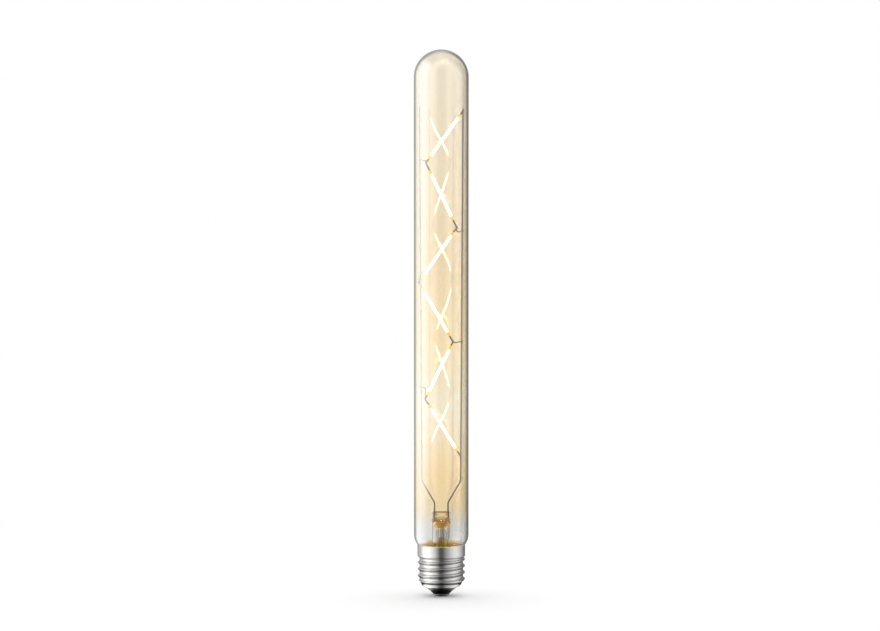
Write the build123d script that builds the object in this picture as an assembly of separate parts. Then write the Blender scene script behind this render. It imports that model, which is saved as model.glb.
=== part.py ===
from build123d import *
import math
import os

# Tubular filament lamp: an amber glass tube with six light strips in a zigzag, on a screw cap
# Millimetres. +Z runs up the lamp's axis, and the origin is the centre of the contact's end face

# Fits between pieces
fit_gap = 0.02
weld_gap = 0.1

# Screw cap, from the contact up
contact_face_diameter = 7.0
contact_diameter = 9.2
contact_edge_height = 0.7
contact_height = 1.1
shank_diameter = 3.0
shank_bore = 1.8
shank_height = 2.8
insulator_face_diameter = 8.6
insulator_height = 3.3
shell_wall = 0.35
shoulder_width = 3.3
shoulder_height = 3.0
shoulder_break = 1.2
cone_width = 0.6
cone_height = 0.5
thread_diameter = 26.2
thread_depth = 1.1
thread_pitch = 3.629
thread_root_width = 2.7
thread_crest_width = 0.8
thread_start = 1.55
thread_length = 14.25
skirt_margin = 0.05
skirt_height = 6.05
cement_thickness = 0.4
cement_recess = 0.35

# Glass tube
tube_diameter = 30.0
glass_wall = 1.0
neck_depth = 4.3
neck_stand = 0.8
neck_slope = 45.0
tube_fillet = 6.0
tube_headroom = 33.45

# Stem
stem_diameter = 9.9
stem_wall = 0.8
stem_rise = 10.2
flare_root = 2.0
press_height = 8.3
press_blend = 3.0
press_spread = 0.5
press_depth = 4.0
press_edge = 0.9
exhaust_diameter = 3.3
exhaust_bore = 2.1
exhaust_seat = 1.0
exhaust_stand = 0.9
exhaust_tip_length = 3.0
exhaust_tip_diameter = 1.4
port_diameter = 2.0
port_height = 2.6

# Wires
support_diameter = 0.8
support_embed = 3.8
support_stand = 4.8
support_slant = 11.9
support_inset = 3.35
support_splay = 0.35
support_ends = {"left": 2.2, "right": 1.1}
lead_diameter = 0.5
lead_clearance = 0.2
lead_landing = 2.4
hook_diameter = 0.6
hook_overhang = 0.9

# Light strips in a zigzag, from the top of the right support down to its foot
strip_length = 29.9
strip_width = 1.6
strip_thickness = 1.2
strip_corner = 0.35
strip_depth = 2.5
tab_width = 0.9
tab_thickness = 0.3
tab_overhang = 0.8
tab_reach = [2.5, 4.6, 3.15, 3.8, 2.52, 3.75]
zigzag_lift = 13.4
joint_inset = [0, 3.4, 3.15, -0.75, 4.8, 2.2]
hook_rise = [1.5, -2.0, 3.0, -0.3, 6.5]

# Driver in the cap
board_width = 17.0
board_height = 9.4
board_thickness = 1.0
notch_margin = 0.4
rectifier_size = (4.0, 1.6, 3.8)
chip_size = (3.8, 1.5, 4.8)
chip_margin = 0.25
chip_lift = 1.6
capacitor_diameter = 6.3
capacitor_height = 8.0
capacitor_edge = 0.5
capacitor_offset = 4.5
resistor_diameter = 2.6
resistor_length = 5.0
resistor_lift = 0.8
resistor_landing = 2.0
shell_wire_diameter = 0.6
shell_wire_landing = 2.0
shell_wire_drop = 1.2

# Cap radii and heights that follow from the sizes above
shank_radius = shank_diameter / 2
major_radius = thread_diameter / 2
minor_radius = major_radius - thread_depth
skirt_radius = major_radius + skirt_margin
skirt_step = skirt_radius - minor_radius
waist_radius = minor_radius - cone_width
lip_radius = waist_radius - shoulder_width
shell_bore = minor_radius - shell_wall
skirt_bore = skirt_radius - shell_wall
lip_z = contact_height + insulator_height
shoulder_z = lip_z + shoulder_height
cone_top_z = shoulder_z + cone_height
thread_top_z = cone_top_z + thread_length
rim_z = thread_top_z + skirt_height

# Glass radii and heights
tube_radius = tube_diameter / 2
tube_bore = tube_radius - glass_wall
neck_radius = skirt_bore - cement_thickness
neck_bore = neck_radius - glass_wall
neck_bottom_z = rim_z - neck_depth
neck_corner_z = rim_z + neck_stand
stem_radius = stem_diameter / 2
stem_bore = stem_radius - stem_wall
flare_bottom_z = neck_bottom_z - stem_wall
press_base_z = rim_z + stem_rise
press_full_z = press_base_z + press_blend
press_top_z = press_base_z + press_height
press_radius = stem_radius + press_spread / 2
exhaust_radius = exhaust_diameter / 2
exhaust_top_z = press_base_z + exhaust_seat
port_z = press_base_z + port_height

# Wire and board places
support_radius = support_diameter / 2
lead_radius = lead_diameter / 2
hook_radius = hook_diameter / 2
support_x = stem_bore - lead_clearance - lead_radius
support_reach = tube_bore - support_inset
support_weld_z = press_top_z - support_embed
support_bend_z = press_top_z + support_stand
support_spread_z = support_bend_z + support_slant
tab_stack = tab_thickness + weld_gap
weld_y = -(support_radius + tab_thickness / 2 + weld_gap)
hook_y = -(support_radius + hook_radius + fit_gap)
hook_end_y = -strip_depth + tab_stack / 2 + tab_thickness / 2 + hook_radius + fit_gap
board_z = shoulder_z
board_top_z = board_z + board_height
board_front = lead_radius + fit_gap
board_back = board_front + board_thickness
exhaust_tip_z = board_top_z + exhaust_stand

sides = {"left": -1, "right": 1}
strips = range(1, len(tab_reach) + 1)
hooks = range(1, len(tab_reach))


def turned(*points):
    """Solid of a straight-edged half section (radius, height), turned about the lamp's axis."""
    section = make_face(Plane.XZ * Polyline(*points, close=True))
    return revolve(section, Axis.Z)


def rod(radius, start, end):
    """Straight round rod between two points."""
    axis = Vector(*end) - Vector(*start)
    section = Plane(origin=start, z_dir=axis) * Circle(radius)
    return extrude(section, axis.length)


def bent_wire(radius, points):
    """Round wire along straight runs, sharply bent at its corners."""
    path = Polyline(*points)
    section = Plane(origin=path @ 0, z_dir=path % 0) * Circle(radius)
    return sweep(section, path, transition=Transition.RIGHT)


def support_x_at(height):
    """How far out a support stands at a height above its second bend."""
    return support_reach + (height - support_spread_z) * math.tan(math.radians(support_splay))


def joint_side(joint):
    """The zigzag starts on the right, and each joint is across from the one above."""
    return 1 if joint % 2 == 0 else -1


def find_joints():
    """Places (x, z) where the strips meet, worked out upwards from the foot of the right support."""
    height = support_spread_z + zigzag_lift
    joints = [(support_x_at(height), height)]
    for strip in reversed(strips):
        below_x, below_z = joints[0]
        span = strip_length + 2 * tab_reach[strip - 1]
        x = joint_side(strip - 1) * (support_x_at(below_z + span) - joint_inset[strip - 1])
        joints.insert(0, (x, below_z + math.sqrt(span**2 - (x - below_x) ** 2)))
    return joints


joints = find_joints()
zigzag_top_z = joints[0][1]
overall_length = zigzag_top_z + tube_headroom
dome_z = overall_length - tube_radius


def glass_skin(inset):
    """Half outline of the tube, from the dome's top to the neck's end, a given depth inside the glass."""
    half_slope = math.tan(math.radians(neck_slope / 2))
    slant = (tube_radius - neck_radius) / math.sin(math.radians(neck_slope))
    drop = (tube_radius - neck_radius) / math.tan(math.radians(neck_slope))
    fillet_radius = min(tube_fillet, 0.95 * slant / half_slope)
    radius = tube_radius - inset
    neck = neck_radius - inset
    corner_z = neck_corner_z + inset * half_slope
    dome = CenterArc((0, dome_z), radius, 0, 90)
    wall = FilletPolyline(
        (radius, dome_z), (radius, corner_z + drop), (neck, corner_z), radius=fillet_radius - inset
    )
    throat = Line((neck, corner_z), (neck, neck_bottom_z))
    return dome + wall + throat


def make_envelope():
    neck_end = Line((neck_bore, neck_bottom_z), (neck_radius, neck_bottom_z))
    dome_top = Line((0, overall_length - glass_wall), (0, overall_length))
    outline = glass_skin(0) + neck_end + glass_skin(glass_wall) + dome_top
    return revolve(make_face(Plane.XZ * outline), Axis.Z)


def make_press():
    """Top of the stem, pinched flat by two jaws while soft."""
    half_depth = press_depth / 2
    blank = turned(
        (0, press_base_z),
        (stem_radius, press_base_z),
        (press_radius, press_full_z),
        (press_radius, press_top_z),
        (0, press_top_z),
    )
    jaws = Plane.YZ * Polyline(
        (-stem_radius, press_base_z),
        (-half_depth, press_full_z),
        (-half_depth, press_top_z - press_edge),
        (press_edge - half_depth, press_top_z),
        (half_depth - press_edge, press_top_z),
        (half_depth, press_top_z - press_edge),
        (half_depth, press_full_z),
        (stem_radius, press_base_z),
        close=True,
    )
    return blank & extrude(make_face(jaws), 2 * press_radius, both=True)


def make_stem():
    """Flare, tube and press. The flare's rim lies under the end of the neck, as the two are fused."""
    body = turned(
        (stem_radius, press_base_z),
        (stem_radius, neck_bottom_z + flare_root),
        (stem_radius + flare_root, neck_bottom_z),
        (neck_radius, neck_bottom_z),
        (neck_radius, flare_bottom_z),
        (stem_bore, flare_bottom_z),
        (stem_bore, press_base_z),
    )
    body += make_press()
    for side in sides.values():
        x = side * support_x
        body -= rod(support_radius + fit_gap, (x, 0, support_weld_z), (x, 0, press_top_z))
        body -= rod(lead_radius + fit_gap, (x, 0, press_base_z), (x, 0, support_weld_z))
    body -= rod(exhaust_radius + fit_gap, (0, 0, press_base_z), (0, 0, exhaust_top_z))
    body -= rod(exhaust_bore / 2, (0, 0, exhaust_top_z), (0, 0, port_z))
    body -= rod(port_diameter / 2, (0, -stem_radius, port_z), (0, stem_radius, port_z))
    return body


def make_exhaust():
    """Tube that the lamp was pumped out through, drawn to a point and sealed below."""
    bore = exhaust_bore / 2
    shoulder = exhaust_tip_z + exhaust_tip_length
    return turned(
        (bore, exhaust_top_z),
        (exhaust_radius, exhaust_top_z),
        (exhaust_radius, shoulder),
        (exhaust_tip_diameter / 2, exhaust_tip_z),
        (0, exhaust_tip_z),
        (0, exhaust_tip_z + exhaust_tip_length / 2),
        (bore, shoulder),
    )


def make_cement():
    inner = neck_radius + fit_gap
    outer = skirt_bore - fit_gap
    top = rim_z - cement_recess
    return turned((inner, flare_bottom_z), (outer, flare_bottom_z), (outer, top), (inner, top))


def make_thread():
    """Helical ridge, run out on the cone below it and on the skirt's step above it."""
    half_wall = shell_wall / 2
    root = minor_radius - half_wall
    start_z = cone_top_z + thread_start - thread_pitch
    section = Plane.XZ * Polyline(
        (root, start_z - thread_root_width / 2),
        (major_radius, start_z - thread_crest_width / 2),
        (major_radius, start_z + thread_crest_width / 2),
        (root, start_z + thread_root_width / 2),
        close=True,
    )
    spine = Helix(thread_pitch, thread_top_z - start_z, minor_radius, center=(0, 0, start_z))
    ridge = sweep(make_face(section), spine, is_frenet=True)
    inner = shell_bore
    outer = skirt_radius + shell_wall
    cone_slope = cone_height / cone_width
    low_z = cone_top_z + half_wall
    high_z = thread_top_z - skirt_step + half_wall
    zone = turned(
        (inner, low_z + cone_slope * (inner - minor_radius)),
        (outer, low_z + cone_slope * (outer - minor_radius)),
        (outer, high_z + outer - minor_radius),
        (inner, high_z + inner - minor_radius),
    )
    return ridge & zone


def make_shell():
    half_wall = shell_wall / 2
    body = turned(
        (skirt_radius, rim_z),
        (skirt_radius, thread_top_z),
        (minor_radius, thread_top_z - skirt_step),
        (minor_radius, cone_top_z),
        (waist_radius, shoulder_z),
        (waist_radius - shoulder_break, lip_z + shoulder_break),
        (lip_radius, lip_z),
        (lip_radius, lip_z + shell_wall),
        (waist_radius - shell_wall, shoulder_z),
        (shell_bore, cone_top_z + half_wall),
        (shell_bore, thread_top_z - skirt_step + half_wall),
        (skirt_bore, thread_top_z + half_wall),
        (skirt_bore, rim_z),
    )
    return body + make_thread()


def make_insulator():
    hole = shank_radius + fit_gap
    lip = lip_radius - fit_gap
    return turned(
        (hole, contact_height),
        (insulator_face_diameter / 2, contact_height),
        (lip, lip_z),
        (lip, lip_z + shell_wall + fit_gap),
        (waist_radius - shell_wall - fit_gap, shoulder_z),
        (hole, shoulder_z),
    )


def make_contact():
    """Flat contact with a hollow shank, in which the resistor's lead is pinched."""
    bore = shank_bore / 2
    return turned(
        (0, 0),
        (contact_face_diameter / 2, 0),
        (contact_diameter / 2, contact_edge_height),
        (contact_diameter / 2, contact_height),
        (shank_radius, contact_height),
        (shank_radius, contact_height + shank_height),
        (bore, contact_height + shank_height),
        (bore, contact_height),
        (0, contact_height),
    )


def make_support(name):
    side = sides[name]
    top_z = zigzag_top_z + support_ends[name]
    points = [
        (side * support_x, 0, support_weld_z),
        (side * support_x, 0, support_bend_z),
        (side * support_reach, 0, support_spread_z),
        (side * support_x_at(top_z), 0, top_z),
    ]
    return bent_wire(support_radius, points)


def make_lead(name):
    x = sides[name] * support_x
    return rod(lead_radius, (x, 0, board_top_z - lead_landing), (x, 0, support_weld_z))


def strip_end(strip, joint):
    """Where a strip's axis meets a joint. Odd strips lie in front, so that the tabs stack."""
    x, z = joints[joint]
    if joint in (0, len(joints) - 1):
        return Vector(x, weld_y, z)
    layer = tab_stack / 2 if strip % 2 == 1 else -tab_stack / 2
    return Vector(x, -strip_depth - layer, z)


def strip_plane(strip):
    """Plane across the middle of a strip, with its normal up the strip and its X along the strip's width."""
    top = strip_end(strip, strip - 1)
    bottom = strip_end(strip, strip)
    axis = (top - bottom).normalized()
    return Plane(origin=(top + bottom) / 2, x_dir=Vector(0, 1, 0).cross(axis), z_dir=axis)


def make_strip(strip):
    section = chamfer(Rectangle(strip_width, strip_thickness).vertices(), strip_corner)
    return extrude(strip_plane(strip) * section, strip_length / 2, both=True)


def make_tab(strip, end):
    """Flat tab from a strip's end to a little past its joint. End is 1 for the upper tab, -1 for the lower."""
    span = (strip_end(strip, strip - 1) - strip_end(strip, strip)).length
    start = strip_length / 2 + fit_gap
    length = span / 2 + tab_overhang - start
    plane = strip_plane(strip)
    section = plane * Pos(0, 0, end * start) * Rectangle(tab_width, tab_thickness)
    return extrude(section, length, dir=plane.z_dir * end)


def make_hook(hook):
    """Wire welded across the front of a support, then bent to the back of a joint's tabs."""
    x, z = joints[hook]
    side = joint_side(hook)
    root_z = z + hook_rise[hook - 1]
    stand = support_x_at(root_z)
    overhang = math.copysign(hook_overhang, stand - abs(x))
    points = [(side * (stand + overhang), hook_y, root_z), (x, hook_y, root_z), (x, hook_end_y, z)]
    return bent_wire(hook_radius, points)


def make_board():
    """Upright board on the insulator, with a notch that the resistor stands in."""
    notch_width = resistor_diameter + 2 * notch_margin
    notch_height = resistor_lift + resistor_length + notch_margin
    low = (Align.CENTER, Align.MIN, Align.MIN)
    board = Box(board_width, board_thickness, board_height, align=low)
    notch = Box(notch_width, board_thickness, notch_height, align=low)
    return Pos(0, board_front, board_z) * (board - notch)


def make_chip(size, side):
    """Flat package on the front of the board, at one end."""
    x = side * (board_width / 2 - chip_margin - size[0] / 2)
    package = Box(*size, align=(Align.CENTER, Align.MAX, Align.MIN))
    return Pos(x, board_front, board_z + chip_lift) * package


def make_capacitor():
    radius = capacitor_diameter / 2
    low = (Align.CENTER, Align.CENTER, Align.MIN)
    can = Cylinder(radius, capacitor_height, align=low)
    can = chamfer(can.edges().group_by(Axis.Z)[-1], capacitor_edge)
    return Pos(capacitor_offset, board_back + radius + fit_gap, board_z) * can


def make_resistor():
    """Fusible resistor on the lamp's axis, with one lead in the contact and one on the board's face."""
    bottom_z = board_z + resistor_lift
    top_z = bottom_z + resistor_length
    body = rod(resistor_diameter / 2, (0, 0, bottom_z), (0, 0, top_z))
    return body + rod(lead_radius, (0, 0, contact_height), (0, 0, top_z + resistor_landing))


def make_shell_wire():
    radius = shell_wire_diameter / 2
    y = board_front - radius - fit_gap
    z = board_top_z - shell_wire_drop
    inner_x = board_width / 2 - shell_wire_landing
    outer_x = math.sqrt(shell_bore**2 - (abs(y) + radius) ** 2) - fit_gap
    return rod(radius, (-inner_x, y, z), (-outer_x, y, z))


pieces = {
    "glass_envelope": make_envelope(),
    "stem_glass": make_stem(),
    "exhaust_tube": make_exhaust(),
    "base_cement": make_cement(),
    "screw_shell": make_shell(),
    "cap_insulator": make_insulator(),
    "centre_contact": make_contact(),
    "driver_board": make_board(),
    "bridge_rectifier": make_chip(rectifier_size, -1),
    "driver_chip": make_chip(chip_size, 1),
    "bulk_capacitor": make_capacitor(),
    "fuse_resistor": make_resistor(),
    "shell_wire": make_shell_wire(),
}
for name in sides:
    pieces[f"{name}_support_wire"] = make_support(name)
    pieces[f"{name}_lead_wire"] = make_lead(name)
for strip in strips:
    pieces[f"filament_{strip}"] = make_strip(strip)
    pieces[f"filament_{strip}_upper_tab"] = make_tab(strip, 1)
    pieces[f"filament_{strip}_lower_tab"] = make_tab(strip, -1)
for hook in hooks:
    pieces[f"filament_hook_{hook}"] = make_hook(hook)

os.makedirs("parts", exist_ok=True)
for name, shape in pieces.items():
    export_step(shape, f"parts/{name}.step")
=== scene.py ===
import math

import bmesh
import bpy
import numpy as np
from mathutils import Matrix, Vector


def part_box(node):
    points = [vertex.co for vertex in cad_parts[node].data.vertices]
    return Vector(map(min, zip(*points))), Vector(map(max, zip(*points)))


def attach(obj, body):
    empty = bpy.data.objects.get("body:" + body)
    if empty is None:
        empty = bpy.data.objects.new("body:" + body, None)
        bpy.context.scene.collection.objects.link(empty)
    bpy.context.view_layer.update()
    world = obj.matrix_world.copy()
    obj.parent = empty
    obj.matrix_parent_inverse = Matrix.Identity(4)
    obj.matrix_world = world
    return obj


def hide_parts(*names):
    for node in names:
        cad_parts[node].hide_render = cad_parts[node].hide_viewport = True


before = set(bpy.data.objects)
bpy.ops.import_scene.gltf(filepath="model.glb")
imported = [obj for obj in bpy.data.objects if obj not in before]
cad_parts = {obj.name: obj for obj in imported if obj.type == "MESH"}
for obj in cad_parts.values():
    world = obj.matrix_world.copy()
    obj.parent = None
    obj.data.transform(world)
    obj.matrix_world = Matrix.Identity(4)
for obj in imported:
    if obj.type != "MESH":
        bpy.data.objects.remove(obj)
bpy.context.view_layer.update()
scene = bpy.context.scene

# Lengths are millimetres in the lamp's own frame: +Z up the axis, the contact's end face at the origin
MM = 0.001


# Places read from the frame

def node_points(node):
    """The corners of a CAD piece."""
    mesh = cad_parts[node].data
    points = np.empty(len(mesh.vertices) * 3)
    mesh.vertices.foreach_get("co", points)
    return points.reshape(-1, 3) / MM


def node_heights(node):
    """The lowest and highest point of a CAD piece."""
    low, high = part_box(node)
    return low.z / MM, high.z / MM


def node_radii(node, height):
    """The inner and outer radius of a turned CAD piece at one of its edges."""
    points = node_points(node)
    ring = points[abs(points[:, 2] - height) < 0.01]
    radii = np.hypot(ring[:, 0], ring[:, 1])
    return radii.min(), radii.max()


def node_bar(node):
    """Centre, axes and sizes of a straight CAD bar, its length first, and the length's axis upwards."""
    points = node_points(node)
    centre = (points.max(0) + points.min(0)) / 2
    axes = np.linalg.svd(points - points.mean(0), full_matrices=False)[2]
    if axes[0, 2] < 0:
        axes[0] *= -1
    axes[2] = np.cross(axes[0], axes[1])
    sizes = np.ptp(points @ axes.T, axis=0)
    return centre, axes, sizes


def ring_centre(points, member, reach):
    """Centre of the ring of corners that one of them belongs to."""
    ring = points[np.linalg.norm(points - points[member], axis=1) < reach]
    return (ring.max(0) + ring.min(0)) / 2


def node_bends(node, reach):
    """Centres of the rings of corners at the ends and bends of a CAD wire, from the highest down."""
    points = node_points(node)
    points = points[np.argsort(-points[:, 2])]
    centres = []
    while len(points):
        centres.append(ring_centre(points, 0, reach))
        points = points[np.linalg.norm(points - points[0], axis=1) >= reach]
    return centres


tube_bottom, tube_top = node_heights("glass_envelope")
tube_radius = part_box("glass_envelope")[1].x / MM
neck_bore, neck_radius = node_radii("glass_envelope", tube_bottom)
glass_wall = neck_radius - neck_bore
lip_z, rim_z = node_heights("screw_shell")
skirt_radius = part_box("screw_shell")[1].x / MM
skirt_bore = node_radii("screw_shell", rim_z)[0]
lip_radius = node_radii("screw_shell", lip_z)[0]
shell_wall = skirt_radius - skirt_bore
insulator_bottom, insulator_top = node_heights("cap_insulator")
stem_bottom, press_top = node_heights("stem_glass")

# Sizes of the forms, beyond what the frame gives: the glass tube
shoulder_rise = 2.95
shoulder_inset = 1.7
shoulder_fillet = 9.6
tuck = 0.35
tuck_fillet = 0.5
dome_thickening = 0.15

# Stem, whose bore ends in two lobes over the press's base: rings of (rise, half width, half depth, dip)
stem_radius = 4.95
stem_bore = 4.15
flare_height = 2.4
flare_lead = 1.5
bore_lead = 0.7
bore_end = [
    (3.6, 3.1, 0.05, 1.3), (3.4, 3.3, 0.35, 1.2), (3.0, 3.5, 0.8, 1.0),
    (2.4, 3.75, 1.5, 0.7), (1.5, 3.95, 2.4, 0.4), (0.6, 4.08, 3.2, 0.1),
]
lobe_gap = 1.1
lobe_droop = 0.6
press_half_width = 5.2
press_half_depth = 2.2
press_base = press_top - 8.3
press_pinch = 3.2
press_edge = 1.5
press_squareness = 3.4
groove_rise = 5.0
groove_depth = 0.55
groove_half_width = 0.6
# Height where the stem glass's painted golden light and shade begin
painted_light_start = press_base - 6

# Exhaust tube, its taper from the tip's centre up and its hollow from the tube's lower end up
exhaust_tip = 0.7
exhaust_taper = (0.4, 3.2)
exhaust_swell = 3.0
hollow_top = 3.6
hollow_waist = 2.4
hollow_end = 1.6

# Screw shell
thread_pitch = 3.629
thread_depth = 1.1
thread_inset = 0.05
thread_crest = 9.45
thread_bottom = 8.3
thread_top = rim_z - 6.05
ridge_power = 2.2
run_out_below = 1.1
run_out_above = 1.6
edge_z = lip_z + 0.5
edge_radius = lip_radius + 0.55
shoulder_power = 0.6
step_z = 8.1
step_radius = 11.4
step_blend = 0.25
bead_rise = 0.5
bead_height = 0.4
bead_half_width = 0.35
bead_top = step_z + 1.2
skirt_blend_below = 1.3
skirt_blend_above = 0.1
skirt_start = thread_top + 0.3
skirt_rings = [24.0, 26.0, rim_z - 0.4, rim_z - 0.15, rim_z]
rim_break = 0.08
rim_break_height = 0.2
wall_blend_below = 0.6
wall_blend_above = 1.5

# Insulator and contact
lip_gap = 0.03
insulator_fillets = [0.5, 0.6]
contact_flat = 2.2
contact_rim = 3.4
contact_rim_rise = 0.06
contact_side_rise = 0.75
contact_fillets = [0.8, 0.5, 0.2]

# Cement, with the faces of its bead as (share of the crest's height, gap to the glass)
crest_height = 0.12
crest_wave = 0.04
crest_wave_count = 5
crest_wave_phase = 0.7
crest_back = 1.1
crest_back_power = 1.5
crest_faces = [(0.9, 0.12), (1.0, 0.01)]
cement_gap = 0.01
neck_turn = 0.5
rim_lap = 0.02
rim_cover = 0.05
# Painted light: the cement gives off a faint glow of its own in place of the strips' light
cement_painted_glow = 0.4

# Wires, with the reach of one ring of a CAD wire's corners, and a direction that no wire follows
support_radius = 0.4
support_bend = 3.0
support_reach = 1.2
lead_radius = 0.25
lead_reach = 0.8
hook_radius = 0.3
hook_reach = 0.65
hook_bends = [0.3, 0.3, 0.5]
hook_wave = 0.3
wire_end_break = 0.35
slanting = (0.3, 0.9, 0.1)

# Light strips
strip_nose = 0.35
strip_end = 0.6
strip_end_turn = 0.5
strip_squareness = 2.8
strip_brightness = 22.0
strip_end_glow = 0.95
unlit_end = 2.5
lit_before = 0.9
lit_after = 0.4
lit_power = 3.0
core_inside = 0.2
core_outside = 0.9

# Tabs, with their stations as shares of the length
tab_stations = np.concatenate([np.linspace(0, 0.85, 10), np.linspace(0.88, 1, 8)])
tab_end = 0.02
tab_squareness = 5
crimp_depth = 0.25
crimp_length = 0.5

# Squareness of a round section, and the distance in metres at which points are joined
round_section = 2
same_point = 1e-7


# Outlines and grids

def arc(centre, radius, start, end, steps):
    """Points (radius, height) of an arc between two angles, in degrees above the outward direction."""
    angles = np.radians(np.linspace(start, end, steps + 1))
    return [(centre[0] + radius * math.cos(a), centre[1] + radius * math.sin(a)) for a in angles]


def round_corners(points, radii, steps=8):
    """A path with each inner corner rounded to its radius."""
    points = [np.array(p, float) for p in points]
    path = [points[0]]
    for before, corner, after, radius in zip(points, points[1:], points[2:], radii):
        back = (before - corner) / np.linalg.norm(before - corner)
        ahead = (after - corner) / np.linalg.norm(after - corner)
        half = math.acos(np.clip(back @ ahead, -1, 1)) / 2
        start = corner + back * radius / math.tan(half)
        end = corner + ahead * radius / math.tan(half)
        bisector = (back + ahead) / np.linalg.norm(back + ahead)
        centre = corner + bisector * radius / math.sin(half)
        turn = math.pi - 2 * half
        for share in np.linspace(0, 1, steps + 1):
            part = math.sin((1 - share) * turn) * (start - centre)
            part += math.sin(share * turn) * (end - centre)
            path.append(centre + part / math.sin(turn))
    path.append(points[-1])
    return path


def grid_faces(rings, around, closed):
    """Faces between rings of points, with the last ring joined to the first where the outline is closed."""
    faces = []
    for ring in range(rings if closed else rings - 1):
        after = (ring + 1) % rings
        for side in range(around):
            other = (side + 1) % around
            faces.append(
                (ring * around + side, ring * around + other, after * around + other, after * around + side)
            )
    return faces


def full_turn(around):
    """Angles of a whole turn in even steps."""
    return np.linspace(0, 2 * math.pi, around, endpoint=False)


def ring_points(radii, heights, turns):
    """A ring of points about the axis, its radius and height given once or for each angle."""
    radii = np.broadcast_to(radii, turns.shape)
    heights = np.broadcast_to(heights, turns.shape)
    return [(r * math.cos(t), r * math.sin(t), z) for r, z, t in zip(radii, heights, turns)]


def lathe(outline, around=160):
    """A closed outline (radius, height) turned about the axis."""
    turns = full_turn(around)
    points = [point for radius, height in outline for point in ring_points(radius, height, turns)]
    return points, grid_faces(len(outline), around, closed=True)


def loft(rings):
    """Rings of points joined in order and closed at both ends."""
    around = len(rings[0])
    points = [tuple(p) for ring in rings for p in ring]
    faces = grid_faces(len(rings), around, closed=False)
    faces.append(tuple(reversed(range(around))))
    faces.append(tuple(range(len(points) - around, len(points))))
    return points, faces


def oval(half_width, half_depth, squareness, around):
    """A ring that is an ellipse at the squareness of a round section, and nearer a rectangle above it."""
    turns = full_turn(around)
    power = 2 / squareness
    across = np.sign(np.cos(turns)) * abs(np.cos(turns)) ** power * half_width
    deep = np.sign(np.sin(turns)) * abs(np.sin(turns)) ** power * half_depth
    return np.stack([across, deep], axis=1)


def tube(path, radius, around=20):
    """Round wire along a path, with its ends broken."""
    path = [np.array(p, float) for p in path]
    end_break = wire_end_break * radius
    first = (path[1] - path[0]) / np.linalg.norm(path[1] - path[0])
    last = (path[-1] - path[-2]) / np.linalg.norm(path[-1] - path[-2])
    stations = [path[0], path[0] + first * end_break, *path[1:-1], path[-1] - last * end_break, path[-1]]
    widths = [radius - end_break] + [radius] * (len(stations) - 2) + [radius - end_break]
    steps = np.diff(stations, axis=0)
    ways = np.concatenate([steps[:1], steps[1:] + steps[:-1], steps[-1:]])
    side = np.cross(first, slanting)
    rings = []
    for station, way, width in zip(stations, ways, widths):
        way = way / np.linalg.norm(way)
        side = side - way * (side @ way)
        side = side / np.linalg.norm(side)
        up = np.cross(way, side)
        rings.append([station + a * side + b * up for a, b in oval(width, width, round_section, around)])
    return loft(rings)


def smooth_step(value, low, high):
    """0 below low, 1 above high, and eased between."""
    share = np.clip((value - low) / (high - low), 0, 1)
    return share * share * (3 - 2 * share)


# Pieces

def add_piece(name, shape, material, replaced, sharp_angle=35.0):
    """A piece of the lamp that stands for CAD nodes."""
    points, faces = shape
    mesh = bpy.data.meshes.new(name)
    mesh.from_pydata([(x * MM, y * MM, z * MM) for x, y, z in points], [], faces)
    cleaned = bmesh.new()
    cleaned.from_mesh(mesh)
    bmesh.ops.remove_doubles(cleaned, verts=cleaned.verts, dist=same_point)
    loose = [edge for edge in cleaned.edges if not edge.link_faces]
    bmesh.ops.delete(cleaned, geom=loose, context="EDGES")
    bmesh.ops.recalc_face_normals(cleaned, faces=cleaned.faces)
    cleaned.to_mesh(mesh)
    cleaned.free()
    mesh.polygons.foreach_set("use_smooth", [True] * len(mesh.polygons))
    mesh.set_sharp_from_angle(angle=math.radians(sharp_angle))
    mesh.materials.append(material)
    piece = bpy.data.objects.new(name, mesh)
    scene.collection.objects.link(piece)
    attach(piece, "root")
    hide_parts(*replaced)
    return piece


def dress_node(node, material):
    """Gives a CAD piece that stays as it is its finish."""
    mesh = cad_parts[node].data
    mesh.materials.clear()
    mesh.materials.append(material)


# Materials

def new_material(name):
    """A material with one Principled shader, and its node tree."""
    material = bpy.data.materials.new(name)
    material.use_nodes = True
    tree = material.node_tree
    return material, tree, tree.nodes["Principled BSDF"]


def set_values(shader, **values):
    """Sets a shader's own sockets, with spaces in their names written as underscores."""
    for name, value in values.items():
        shader.inputs[name.replace("_", " ")].default_value = value


def add_noise(tree, scale, detail=4.0, stretch=(1, 1, 1)):
    """Noise in the object's own space, with its features about 1 / scale metres wide."""
    coordinates = tree.nodes.new("ShaderNodeTexCoord")
    mapping = tree.nodes.new("ShaderNodeMapping")
    mapping.inputs["Scale"].default_value = stretch
    noise = tree.nodes.new("ShaderNodeTexNoise")
    noise.inputs["Scale"].default_value = scale
    noise.inputs["Detail"].default_value = detail
    tree.links.new(coordinates.outputs["Object"], mapping.inputs["Vector"])
    tree.links.new(mapping.outputs["Vector"], noise.inputs["Vector"])
    return noise.outputs["Fac"]


def add_ramp(tree, factor, stops):
    """Colours along a factor, as (place, colour) stops."""
    ramp = tree.nodes.new("ShaderNodeValToRGB")
    while len(ramp.color_ramp.elements) < len(stops):
        ramp.color_ramp.elements.new(0.5)
    for element, (place, colour) in zip(ramp.color_ramp.elements, stops):
        element.position = place
        element.color = (*colour, 1)
    tree.links.new(factor, ramp.inputs["Fac"])
    return ramp.outputs["Color"]


def add_range(tree, factor, low, high):
    """A factor from 0 to 1 spread between two values."""
    spread = tree.nodes.new("ShaderNodeMapRange")
    spread.inputs["To Min"].default_value = low
    spread.inputs["To Max"].default_value = high
    tree.links.new(factor, spread.inputs["Value"])
    return spread.outputs["Result"]


def add_attribute(tree, name):
    """A number marked on the mesh."""
    attribute = tree.nodes.new("ShaderNodeAttribute")
    attribute.attribute_name = name
    return attribute.outputs["Fac"]


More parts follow.
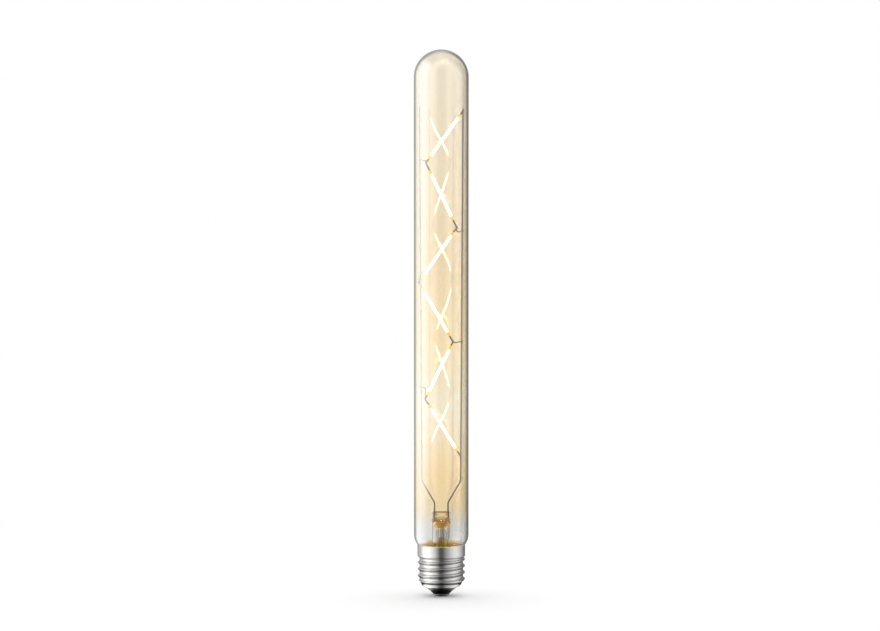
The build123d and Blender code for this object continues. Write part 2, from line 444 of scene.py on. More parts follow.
def add_math(tree, operation, first, second):
    """One step of arithmetic on a node's output and a second output or number."""
    step = tree.nodes.new("ShaderNodeMath")
    step.operation = operation
    tree.links.new(first, step.inputs[0])
    if isinstance(second, float):
        step.inputs[1].default_value = second
    else:
        tree.links.new(second, step.inputs[1])
    return step.outputs[0]


def add_bump(tree, shader, height, distance):
    """Small relief, distance metres deep."""
    bump = tree.nodes.new("ShaderNodeBump")
    bump.inputs["Distance"].default_value = distance
    tree.links.new(height, bump.inputs["Height"])
    tree.links.new(bump.outputs["Normal"], shader.inputs["Normal"])


def add_height(tree, low, high):
    """0 to 1 between two heights up the lamp."""
    coordinates = tree.nodes.new("ShaderNodeTexCoord")
    parts = tree.nodes.new("ShaderNodeSeparateXYZ")
    spread = tree.nodes.new("ShaderNodeMapRange")
    spread.inputs["From Min"].default_value = low * MM
    spread.inputs["From Max"].default_value = high * MM
    tree.links.new(coordinates.outputs["Object"], parts.inputs["Vector"])
    tree.links.new(parts.outputs["Z"], spread.inputs["Value"])
    return spread.outputs["Result"]


def make_mottled(name, dark, light, scale, roughness, relief, metallic=0.0, stretch=(1, 1, 1)):
    """A surface whose colour and roughness vary a little, with fine relief."""
    material, tree, shader = new_material(name)
    noise = add_noise(tree, scale, stretch=stretch)
    tree.links.new(add_ramp(tree, noise, [(0.3, dark), (0.7, light)]), shader.inputs["Base Color"])
    tree.links.new(add_range(tree, noise, *roughness), shader.inputs["Roughness"])
    set_values(shader, Metallic=metallic)
    add_bump(tree, shader, noise, relief)
    return material


def make_amber_glass():
    """Clear glass with an amber lustre that thins out towards the neck. Its tint by height also holds
    painted light: a warmer glow low on the tube and paler glass round the lower strips.
    """
    material, tree, shader = new_material("amber_glass")
    height = add_height(tree, tube_bottom, tube_top)
    # Amber lustre by height, with painted light from the strips: warmer low on the tube, paler round the
    # lower strips
    stops = [
        (0.0, (0.90, 0.91, 0.91)),
        (0.045, (0.91, 0.91, 0.89)),
        (0.09, (0.97, 0.86, 0.65)),
        (0.16, (0.995, 0.865, 0.64)),
        (0.225, (1.0, 0.915, 0.755)),
        (0.3, (1.0, 0.945, 0.815)),
        (0.36, (1.0, 0.92, 0.755)),
        (0.42, (1.0, 0.905, 0.715)),
        (0.5, (0.985, 0.89, 0.715)),
        (0.58, (0.97, 0.875, 0.705)),
        (0.7, (0.97, 0.89, 0.74)),
        (0.92, (0.965, 0.91, 0.795)),
        (1.0, (0.96, 0.91, 0.81)),
    ]
    tree.links.new(add_ramp(tree, height, stops), shader.inputs["Base Color"])
    set_values(shader, Roughness=0.0, IOR=1.8, Transmission_Weight=1.0)
    add_bump(tree, shader, add_noise(tree, scale=60.0, detail=1.0), distance=0.00002)
    return material


def make_clear_glass():
    """Glass of the stem: clear in the tube, and up the pressed end its colour is painted light: a golden
    tone for the strips' light, pale bands as painted highlights and brown bands as painted shade.
    """
    material, tree, shader = new_material("clear_glass")
    height = add_height(tree, painted_light_start, press_top)
    # Painted light and shade up the press: golden glow, pale highlight bands, brown shade bands
    stops = [
        (0.0, (0.93, 0.93, 0.91)),
        (0.33, (0.95, 0.92, 0.86)),
        (0.39, (0.96, 0.88, 0.68)),
        (0.44, (0.9, 0.68, 0.32)),
        (0.59, (0.86, 0.62, 0.25)),
        (0.64, (0.58, 0.34, 0.1)),
        (0.69, (0.68, 0.45, 0.17)),
        (0.735, (1.0, 0.95, 0.74)),
        (0.765, (1.0, 0.96, 0.78)),
        (0.79, (0.88, 0.73, 0.45)),
        (0.83, (1.0, 0.93, 0.75)),
        (0.925, (1.0, 0.93, 0.75)),
        (0.95, (0.52, 0.3, 0.09)),
        (1.0, (0.56, 0.34, 0.11)),
    ]
    tree.links.new(add_ramp(tree, height, stops), shader.inputs["Base Color"])
    set_values(shader, Roughness=0.0, IOR=1.55, Transmission_Weight=1.0)
    add_bump(tree, shader, add_noise(tree, scale=220.0, detail=2.0), distance=0.00008)
    return material


def make_cement_with_painted_glow():
    """Ochre cement with the light strips' glow painted on it as a faint emission."""
    material = make_mottled(
        "cement",
        dark=(0.8, 0.46, 0.03),
        light=(0.95, 0.6, 0.06),
        scale=700.0,
        roughness=(0.7, 0.9),
        relief=0.0002,
    )
    shader = material.node_tree.nodes["Principled BSDF"]
    # Painted light: a faint ochre emission stands in for the strips lighting the cement
    set_values(shader, Emission_Color=(1.0, 0.58, 0.05, 1), Emission_Strength=cement_painted_glow)
    return material


def make_cap_metal():
    """Bright plated sheet, with faint rolling lines round it."""
    material, tree, shader = new_material("cap_metal")
    lines = add_noise(tree, scale=90.0, stretch=(1, 1, 40))
    stops = [(0.3, (0.57, 0.565, 0.55)), (0.7, (0.67, 0.66, 0.64))]
    tree.links.new(add_ramp(tree, lines, stops), shader.inputs["Base Color"])
    tree.links.new(add_range(tree, lines, low=0.12, high=0.2), shader.inputs["Roughness"])
    set_values(shader, Metallic=1.0)
    add_bump(tree, shader, lines, distance=0.000006)
    return material


def make_light_strip():
    """Yellow phosphor coating that shines along its lit length, most of all down its middle."""
    material, tree, shader = new_material("light_strip")
    noise = add_noise(tree, scale=900.0)
    stops = [(0.3, (0.86, 0.52, 0.05)), (0.7, (0.95, 0.66, 0.10))]
    tree.links.new(add_ramp(tree, noise, stops), shader.inputs["Base Color"])
    set_values(shader, Roughness=0.5)
    lit = add_attribute(tree, "lit")
    glow = [(0.0, (0.75, 0.47, 0.06)), (0.4, (0.95, 0.7, 0.2)), (1.0, (1.0, 0.88, 0.66))]
    tree.links.new(add_ramp(tree, lit, glow), shader.inputs["Emission Color"])
    lit_share = add_math(tree, "POWER", lit, lit_power)
    core = add_math(tree, "MULTIPLY", lit_share, add_attribute(tree, "core"))
    strength = add_range(tree, core, strip_end_glow, strip_brightness)
    tree.links.new(strength, shader.inputs["Emission Strength"])
    add_bump(tree, shader, noise, distance=0.00004)
    return material


def make_board_laminate():
    """Green lacquer over copper tracks."""
    material, tree, shader = new_material("board_laminate")
    coordinates = tree.nodes.new("ShaderNodeTexCoord")
    tracks = tree.nodes.new("ShaderNodeTexBrick")
    tracks.inputs["Scale"].default_value = 260.0
    tracks.inputs["Color1"].default_value = (0.02, 0.15, 0.06, 1)
    tracks.inputs["Color2"].default_value = (0.03, 0.19, 0.08, 1)
    tracks.inputs["Mortar"].default_value = (0.06, 0.28, 0.12, 1)
    tree.links.new(coordinates.outputs["Object"], tracks.inputs["Vector"])
    tree.links.new(tracks.outputs["Color"], shader.inputs["Base Color"])
    set_values(shader, Roughness=0.35)
    add_bump(tree, shader, tracks.outputs["Fac"], distance=0.00003)
    return material


def make_banded(name, node, stops, roughness):
    """A sleeve with bands of colour up its height."""
    material, tree, shader = new_material(name)
    height = add_height(tree, *node_heights(node))
    colours = add_ramp(tree, height, stops)
    colours.node.color_ramp.interpolation = "CONSTANT"
    tree.links.new(colours, shader.inputs["Base Color"])
    noise = add_noise(tree, scale=1500.0)
    tree.links.new(add_range(tree, noise, *roughness), shader.inputs["Roughness"])
    add_bump(tree, shader, noise, distance=0.00002)
    return material


drawn_lines = (1, 1, 0.05)
amber_glass = make_amber_glass()
clear_glass = make_clear_glass()
cap_metal = make_cap_metal()
light_strip = make_light_strip()
cement = make_cement_with_painted_glow()
black_insulator = make_mottled(
    "black_insulator",
    dark=(0.002, 0.002, 0.002),
    light=(0.005, 0.005, 0.005),
    scale=500.0,
    roughness=(0.15, 0.3),
    relief=0.00003,
)
contact_metal = make_mottled(
    "contact_metal",
    dark=(0.5, 0.5, 0.5),
    light=(0.68, 0.67, 0.65),
    scale=600.0,
    roughness=(0.25, 0.5),
    relief=0.0001,
    metallic=1.0,
)
wire_metal = make_mottled(
    "wire_metal",
    dark=(0.07, 0.052, 0.036),
    light=(0.13, 0.1, 0.07),
    scale=1500.0,
    roughness=(0.25, 0.45),
    relief=0.00002,
    metallic=1.0,
    stretch=drawn_lines,
)
tab_metal = make_mottled(
    "tab_metal",
    dark=(0.17, 0.13, 0.08),
    light=(0.27, 0.21, 0.13),
    scale=1200.0,
    roughness=(0.3, 0.5),
    relief=0.00003,
    metallic=1.0,
)
copper_wire = make_mottled(
    "copper_wire",
    dark=(0.3, 0.17, 0.1),
    light=(0.42, 0.25, 0.15),
    scale=1500.0,
    roughness=(0.2, 0.4),
    relief=0.00002,
    metallic=1.0,
    stretch=drawn_lines,
)
chip_plastic = make_mottled(
    "chip_plastic",
    dark=(0.012, 0.012, 0.012),
    light=(0.03, 0.03, 0.03),
    scale=3000.0,
    roughness=(0.5, 0.7),
    relief=0.00003,
)
board_laminate = make_board_laminate()
capacitor_sleeve = make_banded(
    "capacitor_sleeve",
    "bulk_capacitor",
    stops=[(0.0, (0.015, 0.02, 0.05)), (0.9, (0.55, 0.55, 0.56))],
    roughness=(0.2, 0.4),
)
resistor_body = make_banded(
    "resistor_body",
    "fuse_resistor",
    stops=[(0.0, (0.55, 0.54, 0.52)), (0.5, (0.2, 0.42, 0.36)), (0.86, (0.55, 0.54, 0.52))],
    roughness=(0.35, 0.6),
)


# Glass tube

def tube_skin(inset, apex):
    """Outline of the tube from the dome's top to the neck's end, a given depth inside the glass."""
    radius = tube_radius - inset
    neck = neck_radius - inset
    dome_z = tube_top - tube_radius
    stretch = (apex - dome_z) / radius
    dome = [(r, dome_z + (z - dome_z) * stretch) for r, z in arc((0, dome_z), radius, 90, 0, 40)]
    wall = [
        (radius, dome_z),
        (radius, rim_z + shoulder_rise),
        (radius - shoulder_inset, rim_z + tuck),
        (neck, rim_z - tuck),
        (neck, tube_bottom),
    ]
    lower = round_corners(wall, [shoulder_fillet, tuck_fillet, tuck_fillet], steps=10)
    straight = [(radius, z) for z in np.linspace(dome_z, lower[1][1], 24)[1:-1]]
    return dome + straight + [tuple(p) for p in lower[1:]]


def tube_outside(height):
    """Outer radius of the tube near its neck."""
    skin = np.array(tube_skin(0, tube_top))[::-1]
    return np.interp(height, skin[:, 1], skin[:, 0])


def build_tube():
    """Glass tube as one closed outline, down its outside and up its inside."""
    outer = tube_skin(0, tube_top)
    inner = tube_skin(glass_wall, tube_top - glass_wall - dome_thickening)
    outer[0] = (0, outer[0][1])
    inner[0] = (0, inner[0][1])
    shape = lathe(outer + inner[::-1], around=192)
    add_piece("amber_tube", shape, amber_glass, ["glass_envelope"], sharp_angle=60)


# Stem

def build_stem():
    """Flare, tube and pinched press, as rings down the bore, over the flare's rim and up the outside."""
    flare_top = stem_bottom + flare_height
    wall = stem_radius - stem_bore
    rings = []
    for rise, half_width, half_depth, dip in bore_end:
        rings.append((press_base + rise, half_width, half_depth, round_section, dip))
    for z in np.linspace(press_base - bore_lead, flare_top, 8):
        rings.append((z, stem_bore, stem_bore, round_section, 0))
    for turn in np.radians(np.linspace(90, 0, 12))[1:]:
        radius = neck_radius - (neck_radius - stem_bore) * math.sin(turn)
        rings.append((flare_top - flare_height * math.cos(turn), radius, radius, round_section, 0))
    for turn in np.radians(np.linspace(0, 90, 12)):
        radius = neck_radius - (neck_radius - stem_radius) * math.sin(turn)
        z = flare_top - (flare_height - wall) * math.cos(turn)
        rings.append((z, radius, radius, round_section, 0))
    for z in np.linspace(flare_top + flare_lead, press_base, 6):
        rings.append((z, stem_radius, stem_radius, round_section, 0))
    for z in np.linspace(press_base, press_top - press_edge, 26)[1:]:
        pinch = smooth_step(z, press_base, press_base + press_pinch)
        groove = groove_depth * math.exp(-(((z - press_base - groove_rise) / groove_half_width) ** 2))
        half_width = stem_radius + pinch * (press_half_width - stem_radius) - groove
        half_depth = stem_radius + pinch * (press_half_depth - stem_radius) - groove
        squareness = round_section + (press_squareness - round_section) * pinch
        rings.append((z, half_width, half_depth, squareness, 0))
    for turn in np.radians(np.linspace(0, 90, 8))[1:]:
        inset = press_edge * (1 - math.cos(turn))
        z = press_top - press_edge * (1 - math.sin(turn))
        rings.append((z, press_half_width - inset, press_half_depth - inset, press_squareness, 0))
    outlines = []
    for z, half_width, half_depth, squareness, dip in rings:
        flat = oval(half_width, half_depth, squareness, around=96)
        between = np.exp(-((flat[:, 0] / lobe_gap) ** 2))
        ends = lobe_droop * (flat[:, 0] / half_width) ** 4
        outlines.append([(x, y, z - dip * sag) for (x, y), sag in zip(flat, between + ends)])
    add_piece("pressed_stem", loft(outlines), clear_glass, ["stem_glass"], sharp_angle=70)


def build_exhaust():
    """Thin tube inside the stem, open at its top and drawn to a closed tip at its lower end."""
    bottom, top = node_heights("exhaust_tube")
    bore, radius = node_radii("exhaust_tube", top)
    tip_z = bottom + exhaust_tip
    tip = arc((0, tip_z), exhaust_tip, -90, 0, 6)
    taper = []
    for rise in np.linspace(*exhaust_taper, 8):
        swell = smooth_step(rise, 0, exhaust_swell)
        taper.append((exhaust_tip + (radius - exhaust_tip) * swell, tip_z + rise))
    hollow = [(bore, bottom + hollow_top), (bore / 2, bottom + hollow_waist), (0, bottom + hollow_end)]
    outline = tip + taper + [(radius, top), (bore, top)] + hollow
    outline[0] = (0, bottom)
    shape = lathe(outline, around=48)
    add_piece("sealed_exhaust", shape, clear_glass, ["exhaust_tube"], sharp_angle=60)


# Cap

def shell_radius(height):
    """Radius of the shell without its thread: a rounded shoulder, a beaded step and the plain skirt."""
    if height <= step_z:
        share = (step_z - height) / (step_z - edge_z)
        return edge_radius + (step_radius - edge_radius) * max(0, 1 - share * share) ** shoulder_power
    minor = skirt_radius - thread_inset - thread_depth
    body = step_radius + (minor - step_radius) * smooth_step(height, step_z, step_z + step_blend)
    bead = bead_height * math.exp(-(((height - step_z - bead_rise) / bead_half_width) ** 2))
    step = smooth_step(height, thread_top - skirt_blend_below, thread_top + skirt_blend_above)
    return body + bead + step * (skirt_radius - minor)


def threaded_radius(height, turn):
    """Radius of the shell with its rolled thread, a narrow ridge that runs out at both ends."""
    base = shell_radius(height)
    phase = (height - thread_crest) / thread_pitch - turn / (2 * math.pi)
    ridge = (0.5 + 0.5 * math.cos(2 * math.pi * phase)) ** ridge_power
    run_out = smooth_step(height, thread_bottom, thread_bottom + run_out_below)
    run_out *= 1 - smooth_step(height, thread_top - run_out_above, thread_top)
    return min(base + thread_depth * ridge * run_out, skirt_radius)


def build_shell():
    """Rolled shell as rings up its outside and down its inside."""
    heights = [edge_z + (step_z - edge_z) * (1 - math.cos(a)) for a in np.linspace(0, math.pi / 2, 16)]
    heights += list(np.linspace(step_z, bead_top, 16))[1:]
    heights += list(np.linspace(bead_top, skirt_start, 110))[1:]
    heights += skirt_rings
    around = 160
    turns = full_turn(around)
    outside, inside = [], []
    for height in heights:
        edge = rim_break * smooth_step(height, rim_z - rim_break_height, rim_z)
        radii = [threaded_radius(height, turn) - edge for turn in turns]
        outside.append(ring_points(radii, height, turns))
        lift = shell_wall * (1 - smooth_step(height, edge_z, step_z))
        wall = shell_wall * smooth_step(height, edge_z - wall_blend_below, edge_z + wall_blend_above)
        bore = [max(radius - wall, edge_radius) for radius in radii]
        inside.append(ring_points(bore, height + lift, turns))
    rings = outside + inside[::-1]
    shape = [point for ring in rings for point in ring], grid_faces(len(rings), around, closed=True)
    add_piece("threaded_shell", shape, cap_metal, ["screw_shell"], sharp_angle=50)


def build_insulator():
    """Glazed cone in the shell's lip, with a hole for the contact."""
    hole, foot = node_radii("cap_insulator", insulator_bottom)
    top = node_radii("cap_insulator", insulator_top)[1]
    lip = edge_radius - lip_gap
    corners = [
        (hole, insulator_bottom),
        (foot, insulator_bottom),
        (lip, edge_z),
        (lip, edge_z + shell_wall),
    ]
    outline = [tuple(p) for p in round_corners(corners, insulator_fillets)]
    outline += [(top, insulator_top), (hole, insulator_top)]
    shape = lathe(outline, around=128)
    add_piece("glazed_insulator", shape, black_insulator, ["cap_insulator"])


def build_contact():
    """Soldered contact with a flat end, a rounded rim and a hollow shank."""
    bottom, top = node_heights("centre_contact")
    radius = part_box("centre_contact")[1].x / MM
    bore, shank = node_radii("centre_contact", top)
    corners = [
        (contact_flat, bottom),
        (contact_rim, bottom + contact_rim_rise),
        (radius, bottom + contact_side_rise),
        (radius, insulator_bottom),
        (shank, insulator_bottom),
    ]
    outline = [(0, bottom), (contact_flat, bottom)]
    outline += [tuple(p) for p in round_corners(corners, contact_fillets)[1:]]
    outline += [(shank, top), (bore, top), (bore, insulator_bottom), (0, insulator_bottom)]
    shape = lathe(outline, around=96)
    add_piece("soldered_contact", shape, contact_metal, ["centre_contact"])


def build_cement():
    """Ring of cement whose uneven bead stands over the cap's rim, highest at the back."""
    bottom, top = node_heights("base_cement")
    outer = node_radii("base_cement", top)[1]
    around = 160
    turns = full_turn(around)
    wave = crest_wave * np.sin(crest_wave_count * turns + crest_wave_phase)
    crest = crest_height + wave + crest_back * np.clip(np.sin(turns), 0, 1) ** crest_back_power
    rings = []
    for share, gap in crest_faces:
        heights = rim_z + share * crest
        rings.append(ring_points(tube_outside(heights) + gap, heights, turns))
    for height in (rim_z + rim_lap, rim_z - neck_turn, bottom):
        rings.append(ring_points(tube_outside(height) + cement_gap, height, turns))
    for radius, height in (
        (outer, bottom),
        (outer, top),
        (skirt_bore - cement_gap, rim_z - rim_lap),
        (skirt_bore, rim_z + rim_cover),
    ):
        rings.append(ring_points(radius, height, turns))
    shape = [point for ring in rings for point in ring], grid_faces(len(rings), around, closed=True)
    add_piece("cement_ring", shape, cement, ["base_cement"])


# Wires

def build_support(side):
    """Upright wire with its two bends."""
    node = f"{side}_support_wire"
    path = round_corners(node_bends(node, support_reach), [support_bend, support_bend])
    add_piece(f"bent_{node}", tube(path, support_radius), wire_metal, [node])


def build_lead(side):
    """Thin wire from the stem down to the driver."""
    node = f"{side}_lead_wire"
    shape = tube(node_bends(node, lead_reach), lead_radius, around=14)
    add_piece(f"drawn_{node}", shape, copper_wire, [node])


def build_hook(number):
    """Hook that leaves a support sideways and turns forwards to a joint. Its tip is its foremost end."""
    node = f"filament_hook_{number}"
    points = node_points(node)
    tip = ring_centre(points, points[:, 1].argmin(), hook_reach)
    root = ring_centre(points, abs(points[:, 0] - tip[0]).argmax(), hook_reach)
    corner = np.array((tip[0], root[1], root[2]))
    wave = np.array((0, 0, hook_wave))
    bends = [root + (corner - root) / 3 + wave, root + (corner - root) * 2 / 3 - wave, corner]
    path = round_corners([root, *bends, tip], hook_bends)
    add_piece(f"bent_{node}", tube(path, hook_radius, around=16), wire_metal, [node])


# Light strips

def build_strip(number):
    """Coated strip, rounded along its edges and ends, marked with its lit length and its bright middle."""
    node = f"filament_{number}"
    centre, axes, sizes = node_bar(node)
    length, width, thickness = sizes
    stations = []
    for turn in np.linspace(strip_end_turn, math.pi / 2, 5):
        stations.append((-length / 2 + strip_nose * (1 - math.cos(turn)), math.sin(turn)))
    straight = length / 2 - strip_end
    ends = [(-along, grow) for along, grow in reversed(stations)]
    stations += [(along, 1) for along in np.linspace(-straight, straight, 70)] + ends
    rings = []
    for along, grow in stations:
        inset = strip_nose * (1 - grow)
        flat = oval(width / 2 - inset, thickness / 2 - inset, strip_squareness, around=40)
        rings.append([centre + along * axes[0] + a * axes[1] + b * axes[2] for a, b in flat])
    piece = add_piece(f"coated_{node}", loft(rings), light_strip, [node], sharp_angle=70)
    places = np.array([vertex.co for vertex in piece.data.vertices]) / MM - centre
    from_end = length / 2 - abs(places @ axes[0])
    from_middle = abs(places @ axes[1]) / (width / 2)
    lit = piece.data.attributes.new("lit", "FLOAT", "POINT")
    lit.data.foreach_set("value", smooth_step(from_end, unlit_end - lit_before, unlit_end + lit_after))
    core = piece.data.attributes.new("core", "FLOAT", "POINT")
    core.data.foreach_set("value", 1 - smooth_step(from_middle, core_inside, core_outside))


def build_tab(number, end):
    """Flat tab with a rounded free end, crimped where it leaves the strip."""
    node = f"filament_{number}_{end}_tab"
    centre, axes, sizes = node_bar(node)
    length, width, thickness = sizes
    free = 1 if end == "upper" else -1
    rings = []
    for share in tab_stations:
        along = free * length * (share - 0.5)
        left = (1 - share) * length
        round_end = math.sqrt(max(tab_end, 1 - max(0, 1 - left / (width / 2)) ** 2))
        crimp = 1 - crimp_depth * math.exp(-((share * length / crimp_length) ** 2))
        flat = oval(width / 2 * round_end * crimp, thickness / 2, tab_squareness, around=16)
        rings.append([centre + along * axes[0] + a * axes[1] + b * axes[2] for a, b in flat])
    add_piece(f"flat_{node}", loft(rings), tab_metal, [node])


build_tube()
build_stem()
build_exhaust()
build_shell()
build_insulator()
build_contact()
build_cement()
for side in ("left", "right"):
    build_support(side)
    build_lead(side)
for number in range(1, 6):
    build_hook(number)
for number in range(1, 7):
    build_strip(number)
    build_tab(number, "upper")
    build_tab(number, "lower")
dress_node("driver_board", board_laminate)
dress_node("bridge_rectifier", chip_plastic)
dress_node("driver_chip", chip_plastic)
dress_node("bulk_capacitor", capacitor_sleeve)
dress_node("fuse_resistor", resistor_body)
dress_node("shell_wire", copper_wire)


# Studio, with lengths in metres

floor_size = 8.0
floor_shade = 0.98
floor_glow = 0.055
white_span = (0.15, 0.45)
# Painted shadow and painted bright ring round the lamp's foot, as the floor shows in mirrors: where the ring
# lies, where the shadow fades out, and how dark it is
painted_ring_inside = (0.006, 0.009)
painted_ring_outside = (0.0165, 0.022)
painted_shadow_span = (0.028, 0.065)
painted_shadow_level = 0.05
# Painted shade on the floor near the lamp's foot, as seen through the glass: the span it fades over
painted_foot_shade_span = (0.02, 0.12)
sheet_near = 0.81
sheet_span = (0.2, 0.8)
tent_front = 0.6
tent_back = 1.45
overhead_light = 0.4
glass_overhead = 0.9
# Light for steep rays in the world, and the depth of the floor's painted shade at the lamp's foot
steep_light_and_foot_shade = 0.4

# Spans of a ray's rise, the sine of its angle above the floor
overhead_span = (0.55, 0.95)
steep_span = (0.5, 0.9)
screen_top = (0.06, 0.2)

# Light round the studio as (bearing, brightness), in degrees from the front, left below 0 and right above.
# This part, from just left of the front round the right to the back, is the same for metal and glass
right_light = [
    (-25, 0.77), (-11, 0.23), (-4, 0.12), (6, 0.12), (18, 0.36), (32, 0.65), (48, 0.92), (64, 1.2),
    (82, 1.2), (102, 0.82), (130, 0.3), (150, 0.2), (165, 0.3), (180, 0.6),
]
studio_light = [
    (-180, 0.6), (-153, 0.48), (-115, 0.85), (-100, 1.35), (-85, 2.25), (-64, 2.2), (-52, 1.5), (-40, 1.25),
    *right_light,
]

# The same as the sharp mirror of the glass shows it, with a larger sheet of light on the left
glass_light = [
    (-180, 0.5), (-150, 0.4), (-138, 0.75), (-117, 2.6), (-97, 4.2), (-79, 4.0),
    (-64, 2.8), (-52, 1.65), (-40, 1.15),
    *right_light,
]

# What stands behind the lamp, seen through it: white, with grey screens beside it
behind_glass = [
    (-180, 1.2), (-178.5, 1.02), (-177, 0.68), (-175, 0.4), (-172.5, 0.36), (-170, 0.52),
    (-167, 0.72), (-160, 0.95), (-150, 1.0),
    (138, 1.0), (143, 0.3), (160, 0.25), (164, 0.3), (169.4, 0.48), (171.6, 0.22), (172.7, 0.24),
    (174, 0.38), (176, 0.4), (177.2, 0.54), (178, 0.86), (178.8, 1.08), (180, 1.2),
]


def mix_shaders(tree, share, first, second):
    """Blends two shaders."""
    mix = tree.nodes.new("ShaderNodeMixShader")
    tree.links.new(share, mix.inputs["Fac"])
    tree.links.new(first, mix.inputs[1])
    tree.links.new(second, mix.inputs[2])
    return mix.outputs[0]


def add_round_lamp(tree, place, levels):
    """Brightness by bearing round the lamp's axis."""
    brightest = max(level for bearing, level in levels)
    parts = tree.nodes.new("ShaderNodeSeparateXYZ")
    tree.links.new(place, parts.inputs["Vector"])
    front = add_math(tree, "MULTIPLY", parts.outputs["Y"], -1.0)
    bearing = add_math(tree, "ARCTAN2", parts.outputs["X"], front)
    turn = tree.nodes.new("ShaderNodeMapRange")
    turn.inputs["From Min"].default_value = -math.pi
    turn.inputs["From Max"].default_value = math.pi
    tree.links.new(bearing, turn.inputs["Value"])
    stops = [((degrees + 180) / 360, (level / brightest,) * 3) for degrees, level in levels]
    share = add_ramp(tree, turn.outputs["Result"], stops)
    return add_math(tree, "MULTIPLY", share, brightest)


def add_fade(tree, value, low, high):
    """0 to 1 as a value goes from low to high."""
    fade = tree.nodes.new("ShaderNodeMapRange")
    fade.interpolation_type = "SMOOTHSTEP"
    fade.inputs["From Min"].default_value = low
    fade.inputs["From Max"].default_value = high
    tree.links.new(value, fade.inputs["Value"])
    return fade.outputs["Result"]


def is_through(tree, path):
    """1 for rays that have only passed through glass, 0 once they were mirrored."""
    direct = add_math(tree, "LESS_THAN", path["Glossy Depth"], 0.5)
    return add_math(tree, "MULTIPLY", path["Is Transmission Ray"], direct)


def is_mirrored(tree, path):
    """1 for rays that were mirrored or have passed through glass."""
    return add_math(tree, "MAXIMUM", path["Is Glossy Ray"], path["Is Transmission Ray"])


def add_white(tree, kind, strength):
    """White light of a given kind and brightness, a number or a node's output."""
    light = tree.nodes.new(kind)
    light.inputs["Color"].default_value = (1, 1, 1, 1)
    if isinstance(strength, float):
        light.inputs["Strength"].default_value = strength
    else:
        tree.links.new(strength, light.inputs["Strength"])
    return light.outputs[0]


def add_background(tree, strength):
    """White light of the world."""
    return add_white(tree, "ShaderNodeBackground", strength)


def add_emission(tree, strength):
    """White light of a surface."""
    return add_white(tree, "ShaderNodeEmission", strength)


def make_world():
    """White to the camera, set by bearing in mirrors and through glass, and graded in depth as it lights."""
    world = bpy.data.worlds.new("studio")
    world.use_nodes = True
    tree = world.node_tree
    tree.nodes.remove(tree.nodes["Background"])
    place = tree.nodes.new("ShaderNodeTexCoord").outputs["Generated"]
    path = tree.nodes.new("ShaderNodeLightPath").outputs
    parts = tree.nodes.new("ShaderNodeSeparateXYZ")
    tree.links.new(place, parts.inputs["Vector"])
    rise = parts.outputs["Z"]

    high = add_fade(tree, rise, *overhead_span)
    sharp = add_background(tree, add_round_lamp(tree, place, glass_light))
    sharp = mix_shaders(tree, high, sharp, add_background(tree, glass_overhead))
    studio = add_background(tree, add_round_lamp(tree, place, studio_light))
    studio = mix_shaders(tree, high, studio, add_background(tree, overhead_light))
    studio = mix_shaders(tree, path["Is Singular Ray"], studio, sharp)

    depth = add_range(tree, parts.outputs["Y"], tent_front, tent_back)
    depth.node.inputs["From Min"].default_value = -1.0
    mixed = mix_shaders(tree, is_mirrored(tree, path), add_background(tree, depth), studio)

    steep = add_fade(tree, add_math(tree, "ABSOLUTE", rise, 0.0), *steep_span)
    open_view = add_range(tree, steep, 1.0, steep_light_and_foot_shade)
    screens = add_math(tree, "MULTIPLY", add_round_lamp(tree, place, behind_glass), open_view)
    raised = add_fade(tree, rise, *screen_top)
    behind = mix_shaders(tree, raised, add_background(tree, screens), add_background(tree, open_view))
    mixed = mix_shaders(tree, is_through(tree, path), mixed, behind)
    mixed = mix_shaders(tree, path["Is Camera Ray"], mixed, add_background(tree, 1.0))
    tree.links.new(mixed, tree.nodes["World Output"].inputs["Surface"])
    scene.world = world


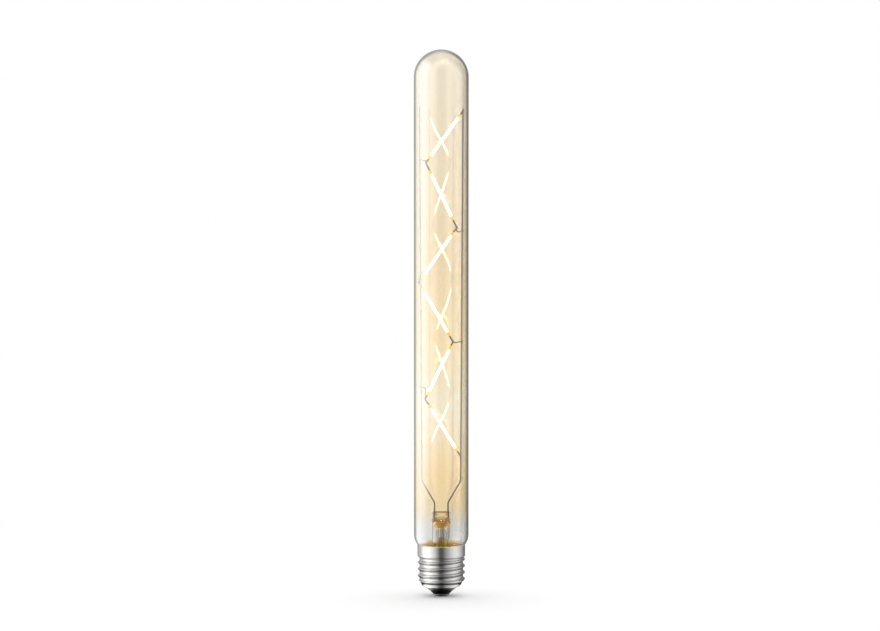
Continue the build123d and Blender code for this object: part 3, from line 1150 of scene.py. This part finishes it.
def make_floor_material():
    """White with the lamp's shadow near it, open from below, and mirrored as the studio's light. In that
    mirror it has a painted shadow round the lamp's foot with a painted bright ring round the contact, and
    seen through the glass it has painted shade near the foot.
    """
    material = bpy.data.materials.new("floor_white")
    material.use_nodes = True
    tree = material.node_tree
    tree.nodes.remove(tree.nodes["Principled BSDF"])
    place = tree.nodes.new("ShaderNodeTexCoord").outputs["Object"]
    path = tree.nodes.new("ShaderNodeLightPath").outputs
    length = tree.nodes.new("ShaderNodeVectorMath")
    length.operation = "LENGTH"
    tree.links.new(place, length.inputs[0])
    distance = length.outputs["Value"]

    diffuse = tree.nodes.new("ShaderNodeBsdfDiffuse")
    diffuse.inputs["Color"].default_value = (floor_shade, floor_shade, floor_shade, 1)
    glow = add_emission(tree, add_math(tree, "MULTIPLY", path["Is Camera Ray"], floor_glow))
    lit = tree.nodes.new("ShaderNodeAddShader")
    tree.links.new(diffuse.outputs[0], lit.inputs[0])
    tree.links.new(glow, lit.inputs[1])
    far = add_math(tree, "MULTIPLY", path["Is Camera Ray"], add_fade(tree, distance, *white_span))
    above = mix_shaders(tree, far, lit.outputs[0], add_emission(tree, 1.0))

    # Painted shadow round the lamp's foot in the floor's mirror image, with a painted bright ring round the
    # contact
    inside = add_fade(tree, distance, *painted_ring_inside)
    ring = add_math(tree, "SUBTRACT", inside, add_fade(tree, distance, *painted_ring_outside))
    ring = add_math(tree, "MAXIMUM", ring, add_fade(tree, distance, *painted_shadow_span))
    painted_shadow_and_ring = add_range(tree, ring, painted_shadow_level, 1.0)
    metal = add_math(tree, "MULTIPLY", add_round_lamp(tree, place, studio_light), painted_shadow_and_ring)
    near_sheet = add_range(tree, add_fade(tree, distance, *sheet_span), sheet_near, 1.0)
    sheet = add_math(tree, "MULTIPLY", add_round_lamp(tree, place, glass_light), near_sheet)
    sharp = add_emission(tree, add_math(tree, "MULTIPLY", sheet, painted_shadow_and_ring))
    studio = mix_shaders(tree, path["Is Singular Ray"], add_emission(tree, metal), sharp)
    above = mix_shaders(tree, is_mirrored(tree, path), above, studio)

    # Painted shade: seen through the glass, the floor darkens towards the lamp's foot
    open_view = add_range(tree, add_fade(tree, distance, *painted_foot_shade_span), steep_light_and_foot_shade, 1.0)
    screens = add_math(tree, "MULTIPLY", add_round_lamp(tree, place, behind_glass), open_view)
    above = mix_shaders(tree, is_through(tree, path), above, add_emission(tree, screens))
    below = tree.nodes.new("ShaderNodeBsdfTransparent").outputs[0]
    side = tree.nodes.new("ShaderNodeNewGeometry").outputs["Backfacing"]
    mixed = mix_shaders(tree, side, above, below)
    tree.links.new(mixed, tree.nodes["Material Output"].inputs["Surface"])
    return material


def make_floor():
    """Flat floor that the lamp stands on."""
    mesh = bpy.data.meshes.new("floor")
    half = floor_size / 2
    corners = [(-half, -half, 0), (half, -half, 0), (half, half, 0), (-half, half, 0)]
    mesh.from_pydata(corners, [], [(0, 1, 2, 3)])
    mesh.materials.append(make_floor_material())
    floor = bpy.data.objects.new("floor", mesh)
    scene.collection.objects.link(floor)


def make_camera():
    """The photograph's view: straight on, a little from above."""
    focal_pixels, frame_pixels = 3648.5, 880.0
    distance, tilt = 2.0, math.radians(3.4)
    aim = Vector((-0.0007, 0, 0.15446))
    camera = bpy.data.objects.new("camera", bpy.data.cameras.new("camera"))
    camera.data.sensor_width = 36.0
    camera.data.lens = camera.data.sensor_width * focal_pixels / frame_pixels
    camera.location = aim + distance * Vector((0, -math.cos(tilt), math.sin(tilt)))
    camera.rotation_mode = "QUATERNION"
    camera.rotation_quaternion = (aim - camera.location).to_track_quat("-Z", "Y")
    scene.collection.objects.link(camera)
    scene.camera = camera


make_world()
make_floor()
make_camera()
scene.view_settings.view_transform = "Standard"
